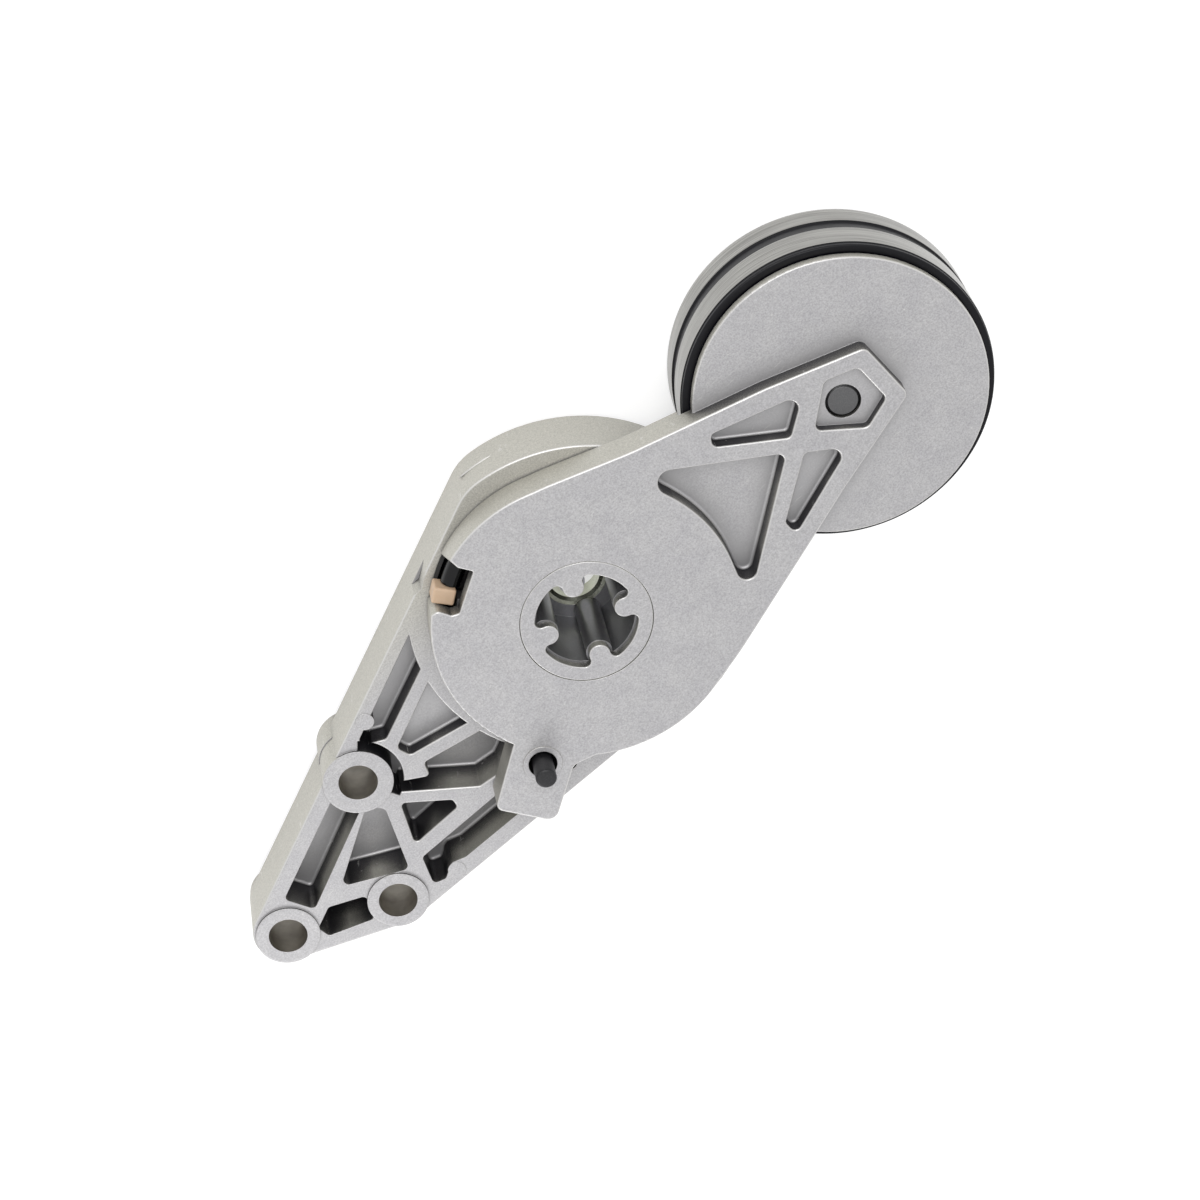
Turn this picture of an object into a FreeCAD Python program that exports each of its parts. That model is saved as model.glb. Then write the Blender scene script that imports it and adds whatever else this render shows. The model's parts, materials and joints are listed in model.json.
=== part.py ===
"""Spring-loaded belt tensioner idler: bracket, swinging arm, smooth pulley and locking pin.

Millimetres, +Z up out of the mounting plane. The origin is on the arm's pivot axis in the
mounting plane, and +X runs from the pivot to the pulley with the arm at rest.
"""

import FreeCAD, Part
import math
import os

V = FreeCAD.Vector

# Bracket casting
DRUM_R = 39.0            # outside of the spring drum
DRUM_BORE_R = 34.2       # inside of the spring drum
DRUM_FLOOR_Z = 6.6       # inner floor of the drum
RIM_Z = 18.5             # front plane of the drum rim, side walls and ribs
REAR_Z = 3.2             # rear plane of the casting between its feet
WALL_D = 35.85           # long side wall, distance of its outer face from the pivot axis
WALL_ANGLE = 204.0       # direction of the long side wall, degrees
WALL_T = 3.0             # long side wall thickness
TAIL_TIP_S = 121.3       # where the long wall and the tail's end would meet, along the wall
LOW_WALL_Y = -35.3       # outer face of the short side wall
LOW_WALL_T = 4.1
FLOOR_FILLET = 0.8       # round where a pocket's wall meets its floor
FLOOR_DEEP_Z = 8.5       # floor of the deep lightening pockets
FLOOR_MID_Z = 12.5
FLOOR_HIGH_Z = 14.5
HUB_FOOT_R = 17.0        # rear hub foot around the pivot
HUB_TOP_Z = 9.5

# Mounting bosses: centre x, y, front ring radius, foot radius
BOSSES = (
    (-106.3, -17.2, 7.5, 7.9),
    (-66.7, 1.6, 8.1, 8.3),
    (-81.8, -28.4, 7.2, 7.2),
)
EJECTOR_PADS = ((-55.0, 12.0), (-66.8, -32.3))
EJECTOR_R = 2.1
BOLT_HOLE_R = 4.5        # medium clearance for an M8 bolt
BOSS_Z = 19.0            # front of the boss rings

# Pivot
TUBE_R = 12.5
TUBE_BORE_R = 11.1
TUBE_TOP_Z = 25.3
TUBE_RIB_R = 3.0         # rounded rib inside the tube
TUBE_RIB_C = 9.6         # radius at which the rib centres stand
LUG_PHASE = 68.0         # angle of the first of four lugs and ribs
RING_R = 8.0             # outside of the locating ring
RING_BORE_R = 6.0
RING_H = 5.2
TUBE_FOOT_H = 4.4        # inward foot of the tube that holds the ring
PLATE_R = 14.95
PLATE_T = 2.2
PLATE_HOLE_R = 11.6
LUG_TIP_R = 6.7
LUG_W = 4.8
LUG_ROOT_R = 1.3         # round where a lug leaves the plate
RUNNING = 0.05           # radial running clearance on the pivot

# Arm
ARM_Z = 27.5             # front face of the arm
ARM_R = 34.7
ARM_LOW_Z = 19.0         # lower edge of the skirt
SKIRT_R = 33.3           # inside of the skirt
COVER_Z = 23.6           # underside of the cover plate
SLEEVE_R = 18.3
SLEEVE_BORE_R = 14.5
ARM_LENGTH = 75.0        # pivot axis to pulley axis
NOSE_END = 86.8
NOSE_LOW_Y = -7.7
NOSE_TOP_Y = 7.6
DISC_R = 33.0
DISC_Z = 23.2
DISC_LOW_Z = 21.1
PIN_X = -31.1
PIN_Y = -20.5
PIN_R = 2.4
PIN_BUSH_R = 4.5
BLOCK_ANGLE = 127.0      # spring block, direction from the pivot
BLOCK_W = 3.9

# Torsion spring
COIL_R = 30.8
WIRE_R = 2.3
COIL_PITCH = 5.0
COIL_LOW_Z = 9.2
COIL_TURNS = 2.35
COIL_END_ANGLE = 123.0

# Pulley and its ball bearing
PULLEY_R = 35.0
PULLEY_REAR_Z = 0.3
PULLEY_FRONT_Z = 20.6
BAND_FRONT_Z = 19.3
GROOVE_TOP_Z = 11.3
GROOVE_LOW_Z = 7.1
GROOVE_DEPTH = 0.5
RIM_T = 2.4
RACE_LOW_Z = 6.8
RACE_W = 12.0
OUTER_RACE_R = 20.0
OUTER_RACE_BORE = 16.9
INNER_RACE_R = 11.6
INNER_RACE_BORE = 8.5
BALL_R = 3.4
BALL_C = 14.25
BALL_COUNT = 8
BOLT_R = 4.0
BOLT_END_Z = 24.9
BOLT_HEAD_R = 6.5


def cylinder(r, z0, z1, x=0.0, y=0.0):
    """Upright cylinder between two heights."""
    return Part.makeCylinder(r, z1 - z0, V(x, y, z0))


def tube(r_out, r_in, z0, z1, x=0.0, y=0.0):
    """Upright hollow cylinder."""
    return cylinder(r_out, z0, z1, x, y).cut(cylinder(r_in, z0 - 1, z1 + 1, x, y))


def box(x0, x1, y0, y1, z0, z1):
    return Part.makeBox(x1 - x0, y1 - y0, z1 - z0, V(x0, y0, z0))


def polar(r, angle):
    a = math.radians(angle)
    return (r * math.cos(a), r * math.sin(a))


def rounded_wire(points, radii, z):
    """Closed outline of straight sides, each corner rounded by its own arc."""
    n = len(points)
    stations = []
    for i in range(n):
        p = V(points[i][0], points[i][1], z)
        a = (V(points[i - 1][0], points[i - 1][1], z) - p).normalize()
        b = (V(points[(i + 1) % n][0], points[(i + 1) % n][1], z) - p).normalize()
        half = a.getAngle(b) / 2.0
        reach = radii[i] / math.tan(half)
        middle = (a + b).normalize() * (radii[i] / math.sin(half) - radii[i])
        stations.append((p + a * reach, p + middle, p + b * reach))
    edges = []
    for i in range(n):
        start, mid, end = stations[i]
        following = stations[(i + 1) % n][0]
        edges.append(Part.Arc(start, mid, end).toShape())
        if (following - end).Length > 1e-4:
            edges.append(Part.LineSegment(end, following).toShape())
    return Part.Wire(edges)


def rounded_prism(points, radius, z0, z1):
    """Upright prism on a rounded outline; the radius is one number or one per corner."""
    radii = radius if isinstance(radius, (list, tuple)) else [radius] * len(points)
    return Part.Face(rounded_wire(points, radii, z0)).extrude(V(0, 0, z1 - z0))


def prism(points, z0, z1):
    """Upright prism on a sharp-cornered outline."""
    corners = [V(x, y, z0) for x, y in points]
    return Part.Face(Part.makePolygon(corners + corners[:1])).extrude(V(0, 0, z1 - z0))


def revolved(profile, x=0.0, y=0.0):
    """Full turn about the upright axis through x, y of an outline given as r, z pairs."""
    corners = [V(r, 0, z) for r, z in profile]
    face = Part.Face(Part.makePolygon(corners + corners[:1]))
    solid = face.revolve(V(0, 0, 0), V(0, 0, 1), 360)
    solid.translate(V(x, y, 0))
    return solid


def wall_point(s, d):
    """Point s along the long side wall from the pivot and d out from the pivot axis."""
    a = math.radians(WALL_ANGLE)
    ux, uy = math.cos(a), math.sin(a)
    return (s * ux + d * uy, s * uy - d * ux)


def flat_edges(shape, z):
    """Edges that lie flat in the plane at height z."""
    found = []
    for edge in shape.Edges:
        bounds = edge.BoundBox
        if abs(bounds.ZMin - z) < 1e-4 and abs(bounds.ZMax - z) < 1e-4:
            found.append(edge)
    return found


def same_edge(one, other):
    gap = (one.CenterOfMass - other.CenterOfMass).Length
    return gap < 1e-4 and abs(one.Length - other.Length) < 1e-4


def soften(shape, z, radius):
    """Round the rims in the plane at height z, loop by loop.

    A rim whose corners are too tight for the radius keeps its sharp edge.
    """
    for loop in Part.sortEdges(flat_edges(shape, z)):
        edges = [e for e in flat_edges(shape, z) if any(same_edge(e, k) for k in loop)]
        try:
            rounded = shape.makeFillet(radius, edges)
        except Part.OCCError:
            continue
        if rounded.isValid() and rounded.Volume > 0:
            shape = rounded
    return shape


def tail_outline(z0, z1):
    """Bracket tail: the two side walls' outer faces and the rounded boss ends."""
    corners = [
        wall_point(0.0, WALL_D),
        wall_point(TAIL_TIP_S, WALL_D),
        (-83.9, LOW_WALL_Y),
        (0.0, LOW_WALL_Y),
        (0.0, 0.0),
    ]
    return rounded_prism(corners, [0.5, 7.9, 7.2, 0.5, 0.5], z0, z1)


def pocket_list():
    """Lightening pockets of the tail: corners, corner radius and floor height."""
    wall_in = WALL_D - WALL_T
    low_in = LOW_WALL_Y + LOW_WALL_T
    return (
        ([wall_point(14.0, wall_in), wall_point(52.2, wall_in - 0.3), wall_point(47.8, 27.0),
          wall_point(14.0, 27.0)], 1.2, FLOOR_MID_Z),
        ([(-30.0, 12.9), (-30.0, -6.6), (-53.6, -1.8), (-54.6, 1.6)], 1.3, FLOOR_HIGH_Z),
        ([(-30.0, -10.3), (-52.8, -5.6), (-54.2, -9.3), (-61.6, -4.4), (-63.2, -6.2),
          (-48.0, -19.3), (-42.5, -19.9), (-30.0, -14.0)], 1.0, FLOOR_DEEP_Z),
        ([(-63.9, -9.8), (-55.0, -17.6), (-55.4, -19.8), (-68.9, -20.2)], 0.9, FLOOR_DEEP_Z),
        ([(-28.0, -23.5), (-28.0, low_in), (-63.0, low_in), (-66.6, -30.0), (-70.2, -32.3),
          (-73.2, -31.3), (-70.2, -24.0)], 1.2, FLOOR_DEEP_Z),
        ([wall_point(67.0, 32.3), wall_point(95.5, 32.1), wall_point(95.5, 24.4),
          wall_point(67.0, 25.1)], 1.2, FLOOR_DEEP_Z),
        ([(-69.9, -4.6), (-67.3, -8.3), (-74.4, -24.2), (-88.8, -16.4)], 1.4, FLOOR_DEEP_Z),
        ([(-94.6, -18.4), (-86.4, -22.4), (-89.2, -28.5), (-99.9, -24.3), (-100.2, -21.0)],
         1.2, FLOOR_DEEP_Z - 2.0),
    )


def tail_pockets():
    """The pocket cutters, kept off the drum and the boss columns."""
    keep = [cylinder(DRUM_R + 0.3, 0, RIM_Z + 5)]
    for x, y, r, _ in BOSSES:
        keep.append(cylinder(r, 0, RIM_Z + 5, x, y))
    for x, y in EJECTOR_PADS:
        keep.append(cylinder(EJECTOR_R, 0, RIM_Z + 5, x, y))
    keep.append(cylinder(5.4, 0, RIM_Z + 5, PIN_X, PIN_Y))
    cutters = []
    for corners, radius, floor in pocket_list():
        cutter = rounded_prism(corners, radius, floor, RIM_Z + 2)
        cutter = soften(cutter, floor, FLOOR_FILLET)
        for post in keep:
            cutter = cutter.cut(post)
        cutters.append(cutter)
    x, y, r, _ = BOSSES[1]
    moat = tube(r + 2.3, r, FLOOR_DEEP_Z, RIM_Z + 2, x, y)
    sector = prism([(x, y), (x + 11.0, y + 12.0), (x + 20.0, y), (x + 6.4, y - 15.0)], 0, 30)
    cutters.append(moat.common(sector))
    return cutters


def bracket():
    """Die-cast bracket: spring drum, ribbed tail, three through-bolt bosses and pivot hub."""
    body = cylinder(DRUM_R, REAR_Z, RIM_Z).fuse(tail_outline(REAR_Z, RIM_Z))
    body = body.fuse(cylinder(5.4, REAR_Z, RIM_Z, PIN_X, PIN_Y))
    beyond = prism([wall_point(-60, WALL_D), wall_point(-60, WALL_D + 30),
                    wall_point(140, WALL_D + 30), wall_point(140, WALL_D)], -5, 40)
    body = body.cut(beyond).removeSplitter()
    body = round_shoulder(body)
    for cutter in tail_pockets():
        body = body.cut(cutter)
    body = soften(body, RIM_Z, 0.45)
    for x, y, r, foot in BOSSES:
        body = body.fuse(cylinder(r, 0, BOSS_Z - 0.01, x, y))
        body = body.fuse(cylinder(foot, 0, 9.0, x, y))
    for x, y, r, foot in BOSSES:
        ring = soften(cylinder(r, RIM_Z - 1.5, BOSS_Z, x, y), BOSS_Z, 0.35)
        body = body.fuse(ring)
    for x, y in EJECTOR_PADS:
        body = body.fuse(cylinder(EJECTOR_R, RIM_Z - 1, RIM_Z + 0.1, x, y))
    body = body.fuse(cylinder(HUB_FOOT_R, 0, DRUM_FLOOR_Z))
    body = body.cut(cylinder(DRUM_BORE_R, DRUM_FLOOR_Z, RIM_Z + 2))
    body = body.fuse(cylinder(HUB_FOOT_R - 0.5, DRUM_FLOOR_Z - 1, HUB_TOP_Z))
    body = body.cut(cylinder(TUBE_R, -1, 40))
    for x, y, _, _ in BOSSES:
        body = body.cut(cylinder(BOLT_HOLE_R, -1, 40, x, y))
    body = body.cut(cylinder(2.9, 9.0, 40, PIN_X, PIN_Y))
    sliver = prism([(-18.2, 31.4), (-25.9, 27.9), (-23.2, 28.0)], 13.0, 30)
    body = body.cut(sliver)
    body = body.fuse(lower_stop())
    return body.removeSplitter()


def round_shoulder(body):
    """Blend the drum's round into the flat of the long wall."""
    edges = []
    for edge in body.Edges:
        bounds = edge.BoundBox
        far = math.hypot(bounds.XMin, bounds.YMin)
        upright = bounds.ZLength > 10 and bounds.XLength < 1e-3 and bounds.YLength < 1e-3
        if upright and abs(far - DRUM_R) < 0.1 and bounds.YMin > 20 and bounds.XMin > -10:
            edges.append(edge)
    return body.makeFillet(14.0, edges)


def lower_stop():
    """Cast lug on the drum floor that the coil's lower end bears on."""
    start = COIL_END_ANGLE - 360.0 * COIL_TURNS
    lug = tube(DRUM_BORE_R + 0.5, 26.0, DRUM_FLOOR_Z - 0.5, COIL_LOW_Z + 2.0)
    a0 = polar(40.0, start - 1.0)
    a1 = polar(40.0, start - 14.0)
    return lug.common(prism([(0, 0), a1, a0], 0, 30))


def pivot_tube():
    """Steel tube pressed into the bracket, with four rounded ribs along its bore."""
    body = tube(TUBE_R, TUBE_BORE_R, 0, TUBE_TOP_Z)
    body = body.fuse(tube(TUBE_R - 0.4, RING_R, 0, TUBE_FOOT_H))
    bound = cylinder(TUBE_R - 0.4, TUBE_FOOT_H - 0.5, TUBE_TOP_Z)
    for k in range(4):
        x, y = polar(TUBE_RIB_C, LUG_PHASE + 90.0 * k)
        rib = cylinder(TUBE_RIB_R, TUBE_FOOT_H - 0.5, TUBE_TOP_Z, x, y)
        body = body.fuse(rib.common(bound))
    body = body.cut(cylinder(RING_R, -1, RING_H + 0.15))
    return body.removeSplitter()


def pivot_ring():
    """Plain locating ring in the foot of the pivot tube."""
    return revolved([(RING_BORE_R, 0), (RING_R, 0), (RING_R, TUBE_FOOT_H), (RING_R - 0.4, RING_H),
                     (RING_BORE_R + 0.7, RING_H), (RING_BORE_R, RING_H - 0.7)])


def retaining_plate():
    """Disc that holds the arm on its pivot, with four round-ended lugs into its opening."""
    z0 = ARM_Z - PLATE_T
    plate = tube(PLATE_R, PLATE_HOLE_R, z0, ARM_Z)
    for k in range(4):
        angle = LUG_PHASE + 90.0 * k
        x, y = polar(LUG_TIP_R + LUG_W / 2, angle)
        tip = cylinder(LUG_W / 2, z0, ARM_Z, x, y)
        stem = box(LUG_TIP_R + LUG_W / 2, PLATE_R - 1.0, -LUG_W / 2, LUG_W / 2, z0, ARM_Z)
        stem.rotate(V(0, 0, 0), V(0, 0, 1), angle)
        plate = plate.fuse(tip).fuse(stem)
    plate = plate.removeSplitter()
    roots = [e for e in plate.Edges if e.BoundBox.ZLength > PLATE_T - 0.1
             and abs(e.CenterOfMass.Length - V(PLATE_HOLE_R, 0, ARM_Z - PLATE_T / 2).Length) < 0.05]
    plate = plate.makeFillet(LUG_ROOT_R, roots)
    return soften(plate, ARM_Z, 0.3)


def nose_outline(z0, z1):
    """Tapered nose whose sides run out gently into the round of the arm."""
    corners = [(0, 0), polar(ARM_R - 0.15, -79.0), (18.0, -31.1), (50.0, -19.9), (62.0, -15.6),
               (NOSE_END, NOSE_LOW_Y), (NOSE_END, NOSE_TOP_Y), (64.5, 15.6), (34.0, 24.6),
               (14.0, 32.0), polar(ARM_R - 0.15, 80.0)]
    radii = [0.2, 0.1, 90.0, 60.0, 40.0, 2.0, 2.0, 40.0, 60.0, 60.0, 0.1]
    return rounded_prism(corners, radii, z0, z1)


def tab_outline(z0, z1):
    """Ear with the locking pin's hole."""
    corners = [(-30.0, -10.3), (-46.8, -21.9), (-39.2, -34.2), (-26.4, -25.9), (-20.0, -27.8),
               (-20.0, -12.0)]
    return rounded_prism(corners, [0.5, 1.8, 2.6, 2.5, 0.5, 0.5], z0, z1)


def nose_pockets():
    """Lightening pockets in the nose: bolt well, two small ones and the large one."""
    well = rounded_prism([(66.4, 0), (75.3, -7.6), (82.6, -5.0), (82.6, 5.0), (75.3, 7.6)],
                         [1.3, 1.8, 1.5, 1.5, 1.8], ARM_Z - 2.4, ARM_Z + 2)
    floor = ARM_Z - 3.7
    upper = rounded_prism([(70.0, 8.7), (61.5, 2.5), (47.8, 12.8), (49.3, 15.4)],
                          [2.1, 1.3, 1.3, 1.3], floor, ARM_Z + 2)
    lower = rounded_prism([(69.1, -8.4), (61.4, -2.6), (47.5, -12.8), (47.5, -16.5)],
                          [2.1, 1.3, 1.3, 1.3], floor, ARM_Z + 2)
    cutters = [well, soften(upper, floor, 0.7), soften(lower, floor, 0.7)]
    floor = ARM_Z - 5.2
    large = rounded_prism([(58.3, 0.2), (29.3, -22.0), (36.7, -0.6), (30.3, 20.3)],
                          [1.5, 2.2, 34.9, 3.0], floor, ARM_Z + 2)
    cutters.append(soften(large, floor, FLOOR_FILLET))
    return cutters


def notch():
    """Opening in the arm's rim that shows the end of the spring and its block.

    Its first side leans, so that the opening is narrower at the lower edge of the skirt.
    """
    shared = [(-9.6, 27.1), (-18.7, 21.6), (-20.3, 22.4), (-21.7, 25.3), (-30.0, 26.6),
              (-30.0, 38.0)]
    radii = [0.5, 1.2, 0.5, 0.6, 0.6, 1.3, 0.5, 0.5]
    low = rounded_wire([(-15.2, 38.0), (-14.2, 31.4)] + shared, radii, ARM_LOW_Z - 1)
    high = rounded_wire([(-11.2, 38.0), (-11.0, 30.0)] + shared, radii, ARM_Z + 1)
    return Part.makeLoft([low, high], True, True)


def soften_notch(body, radius):
    """Round the notch's rim in the arm's face."""
    edges = []
    for edge in flat_edges(body, ARM_Z):
        middle = edge.CenterOfMass
        near = math.hypot(middle.x + 16.0, middle.y - 27.0) < 8.5
        if near and math.hypot(middle.x, middle.y) < ARM_R - 0.8:
            edges.append(edge)
    return body.makeFillet(radius, edges)


def arm():
    """Die-cast swing arm: drum cover with skirt and sleeve, nose, pulley cover disc and ear."""
    body = cylinder(ARM_R, ARM_LOW_Z, ARM_Z).fuse(nose_outline(ARM_LOW_Z, ARM_Z))
    body = body.fuse(tab_outline(ARM_LOW_Z, ARM_Z)).removeSplitter()
    pockets = nose_pockets()
    for cutter in pockets:
        body = body.cut(cutter)
    body = soften(body, ARM_Z, 0.45).cut(notch())
    body = soften_notch(body, 0.4)
    body = body.cut(cylinder(PULLEY_R + 0.8, 0, DISC_LOW_Z, ARM_LENGTH))
    disc = soften(cylinder(DISC_R, DISC_LOW_Z, DISC_Z, ARM_LENGTH), DISC_Z, 0.4)
    disc = disc.cut(pockets[-1])
    body = body.fuse(disc).fuse(cylinder(10.5, RACE_LOW_Z + RACE_W + 0.2, DISC_LOW_Z + 1, ARM_LENGTH))
    hollow = tube(SKIRT_R, SLEEVE_R, ARM_LOW_Z - 1, COVER_Z)
    body = body.cut(hollow)
    body = body.fuse(cylinder(SLEEVE_R, 10.0, COVER_Z + 1))
    body = body.cut(cylinder(SLEEVE_BORE_R, 0, 40))
    body = body.cut(cylinder(PLATE_R + 0.1, ARM_Z - PLATE_T - 0.2, 40))
    body = body.cut(cylinder(BOLT_R, 0, 40, ARM_LENGTH))
    body = body.cut(cylinder(PIN_BUSH_R, 0, 40, PIN_X, PIN_Y))
    return body.removeSplitter()


def torsion_spring():
    """Round-wire torsion spring between the bracket and the arm."""
    height = COIL_PITCH * COIL_TURNS
    helix = Part.makeHelix(COIL_PITCH, height, COIL_R)
    start = V(COIL_R, 0, 0)
    lead = math.atan2(COIL_PITCH, 2 * math.pi * COIL_R)
    tangent = V(0, math.cos(lead), math.sin(lead))
    section = Part.Wire([Part.Circle(start, tangent, WIRE_R).toShape()])
    coil = Part.Wire(helix).makePipeShell([section], True, True)
    coil.rotate(V(0, 0, 0), V(0, 0, 1), COIL_END_ANGLE - 360.0 * COIL_TURNS)
    coil.translate(V(0, 0, COIL_LOW_Z))
    return coil


def spring_block():
    """Plastic block in the arm's notch that the coil's upper end pushes on."""
    block = box(29.5, 34.6, -BLOCK_W / 2, BLOCK_W / 2, ARM_LOW_Z + 0.2, ARM_Z - 3.2)
    block = block.makeFillet(0.5, block.Edges)
    block.rotate(V(0, 0, 0), V(0, 0, 1), BLOCK_ANGLE)
    return block


def block_saddle():
    """Bent steel saddle behind the block, standing on the arm's cover."""
    saddle = box(26.4, 28.7, -2.6, 2.6, ARM_LOW_Z + 0.4, COVER_Z - 0.05)
    saddle.rotate(V(0, 0, 0), V(0, 0, 1), BLOCK_ANGLE + 6.0)
    return saddle


def pulley_rim():
    """Steel pulley: turned running surface with a shallow groove, web and bearing seat."""
    r = PULLEY_R
    inner = r - RIM_T
    seat_top = RACE_LOW_Z + RACE_W - 0.6
    seat_low = RACE_LOW_Z + 0.6
    profile = [
        (r - 0.3, PULLEY_REAR_Z), (r, PULLEY_REAR_Z + 0.3),
        (r, GROOVE_LOW_Z), (r - GROOVE_DEPTH, GROOVE_LOW_Z + 0.5),
        (r - GROOVE_DEPTH, GROOVE_TOP_Z - 0.5), (r, GROOVE_TOP_Z),
        (r, BAND_FRONT_Z), (r - 0.25, BAND_FRONT_Z + 0.25),
        (r - 0.25, PULLEY_FRONT_Z - 0.35), (r - 0.6, PULLEY_FRONT_Z),
        (inner + 0.6, PULLEY_FRONT_Z), (inner, PULLEY_FRONT_Z - 0.6),
        (inner, 12.6), (inner - 2.0, 11.2), (OUTER_RACE_R + 4.4, 11.2),
        (OUTER_RACE_R + 2.2, 13.0), (OUTER_RACE_R + 2.2, seat_top),
        (OUTER_RACE_R, seat_top), (OUTER_RACE_R, seat_low),
        (OUTER_RACE_R + 2.2, seat_low), (OUTER_RACE_R + 2.2, 8.4),
        (OUTER_RACE_R + 2.8, 8.8), (inner - 2.6, 8.8), (inner, 7.2), (inner, PULLEY_REAR_Z),
    ]
    return revolved(profile, ARM_LENGTH)


def outer_race():
    """Bearing outer ring with its ball groove."""
    mid = RACE_LOW_Z + RACE_W / 2
    ring = tube(OUTER_RACE_R, OUTER_RACE_BORE, RACE_LOW_Z, RACE_LOW_Z + RACE_W, ARM_LENGTH)
    return ring.cut(ball_track(mid))


def inner_race():
    """Bearing inner ring with its ball groove."""
    mid = RACE_LOW_Z + RACE_W / 2
    ring = tube(INNER_RACE_R, INNER_RACE_BORE, RACE_LOW_Z, RACE_LOW_Z + RACE_W, ARM_LENGTH)
    return ring.cut(ball_track(mid))


def ball_track(mid):
    """Ring-shaped space the balls roll in."""
    return Part.makeTorus(BALL_C, BALL_R + 0.05, V(ARM_LENGTH, 0, mid))


def ball(index):
    """One steel ball."""
    x, y = polar(BALL_C, 360.0 * index / BALL_COUNT)
    return Part.makeSphere(BALL_R, V(ARM_LENGTH + x, y, RACE_LOW_Z + RACE_W / 2))


def ball_cage():
    """Cage that keeps the balls apart."""
    mid = RACE_LOW_Z + RACE_W / 2
    cage = tube(BALL_C + 1.1, BALL_C - 1.1, mid - 4.2, mid + 4.2, ARM_LENGTH)
    for k in range(BALL_COUNT):
        x, y = polar(1.0, 360.0 * k / BALL_COUNT)
        inward = V(ARM_LENGTH + x * (BALL_C - 3.0), y * (BALL_C - 3.0), mid)
        cage = cage.cut(Part.makeCylinder(BALL_R + 0.12, 6.0, inward, V(x, y, 0)))
    return cage


def bearing_seal(z0):
    """Rubber seal fixed in the outer ring, just clear of the inner one."""
    return tube(OUTER_RACE_BORE, INNER_RACE_R + 0.3, z0, z0 + 1.2, ARM_LENGTH)


def bearing_spacer():
    """Stepped sleeve between the bolt and the bearing's inner ring."""
    sleeve = tube(INNER_RACE_BORE, BOLT_R + 0.15, RACE_LOW_Z, RACE_LOW_Z + RACE_W, ARM_LENGTH)
    flange = tube(10.4, BOLT_R + 0.15, RACE_LOW_Z + RACE_W, RACE_LOW_Z + RACE_W + 0.2, ARM_LENGTH)
    return sleeve.fuse(flange).removeSplitter()


def dust_cap():
    """Dished steel cover behind the bearing, clamped under the bolt's washer."""
    z = RACE_LOW_Z
    return revolved([(BOLT_R + 0.15, z - 0.8), (11.0, z - 0.8), (12.2, z - 1.6), (18.6, z - 1.6),
                     (18.6, z - 0.8), (12.5, z - 0.8), (11.3, z), (BOLT_R + 0.15, z)], ARM_LENGTH)


def bolt_washer():
    """Plain washer under the bolt head."""
    return tube(9.0, BOLT_R + 0.2, RACE_LOW_Z - 2.2, RACE_LOW_Z - 0.8, ARM_LENGTH)


def pulley_bolt():
    """Hexagon bolt from behind, screwed into the arm; its end shows in the well."""
    top = RACE_LOW_Z - 2.2
    corners = [polar(BOLT_HEAD_R / math.cos(math.pi / 6), 60.0 * k) for k in range(6)]
    head = prism([(ARM_LENGTH + x, y) for x, y in corners], 0.8, top)
    dome = revolved([(0, 0.8), (BOLT_HEAD_R - 0.3, 0.8), (BOLT_HEAD_R + 1.2, 1.8),
                     (BOLT_HEAD_R + 1.2, top), (0, top)], ARM_LENGTH)
    shank = revolved([(0, top - 0.5), (BOLT_R, top - 0.5), (BOLT_R, BOLT_END_Z - 1.5),
                      (BOLT_R - 0.7, BOLT_END_Z), (0, BOLT_END_Z)], ARM_LENGTH)
    return head.common(dome).fuse(shank).removeSplitter()


def lock_pin():
    """Straight service pin with rounded ends."""
    z0 = RIM_Z + 0.4
    pin = cylinder(PIN_R, z0, ARM_Z + 6.8, PIN_X, PIN_Y)
    return soften(soften(pin, ARM_Z + 6.8, 0.6), z0, 0.6)


def build():
    """Every node of the assembly by name."""
    nodes = {
        "bracket": bracket(),
        "pivot_tube": pivot_tube(),
        "pivot_ring": pivot_ring(),
        "retaining_plate": retaining_plate(),
        "thrust_washer": tube(HUB_FOOT_R - 0.8, TUBE_R + 0.2, HUB_TOP_Z, HUB_TOP_Z + 0.4),
        "arm": arm(),
        "bush_lower": tube(SLEEVE_BORE_R, TUBE_R + RUNNING, 10.0, 17.0),
        "bush_upper": tube(SLEEVE_BORE_R, TUBE_R + RUNNING, 17.6, ARM_Z - PLATE_T - 0.25),
        "torsion_spring": torsion_spring(),
        "spring_block": spring_block(),
        "block_saddle": block_saddle(),
        "rim_seal": tube(ARM_R - 0.5, SKIRT_R + 0.1, RIM_Z + 0.15, ARM_LOW_Z),
        "pin_bush": tube(PIN_BUSH_R, PIN_R + 0.9, ARM_LOW_Z, ARM_Z + 0.15, PIN_X, PIN_Y),
        "lock_pin": lock_pin(),
        "pulley_rim": pulley_rim(),
        "outer_race": outer_race(),
        "inner_race": inner_race(),
        "ball_cage": ball_cage(),
        "seal_front": bearing_seal(RACE_LOW_Z + RACE_W - 1.5),
        "seal_rear": bearing_seal(RACE_LOW_Z + 0.3),
        "bearing_spacer": bearing_spacer(),
        "dust_cap": dust_cap(),
        "bolt_washer": bolt_washer(),
        "pulley_bolt": pulley_bolt(),
    }
    for k in range(BALL_COUNT):
        nodes["ball_%d" % (k + 1)] = ball(k)
    return nodes


os.makedirs("parts", exist_ok=True)
for name, shape in build().items():
    shape.exportStep("parts/%s.step" % name)
    print(name, shape.ShapeType, len(shape.Solids), round(shape.Volume, 1), shape.isValid())
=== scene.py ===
"""Belt tensioner idler: finishes, fine pieces, studio light and camera around the fixed model.

Lengths are in millimetres where a name ends in _mm and in metres everywhere else.
"""
import json
import logging
import math
from dataclasses import dataclass, field
from enum import Enum

import bmesh
import bpy
import numpy as np
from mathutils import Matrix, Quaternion, Vector


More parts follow.
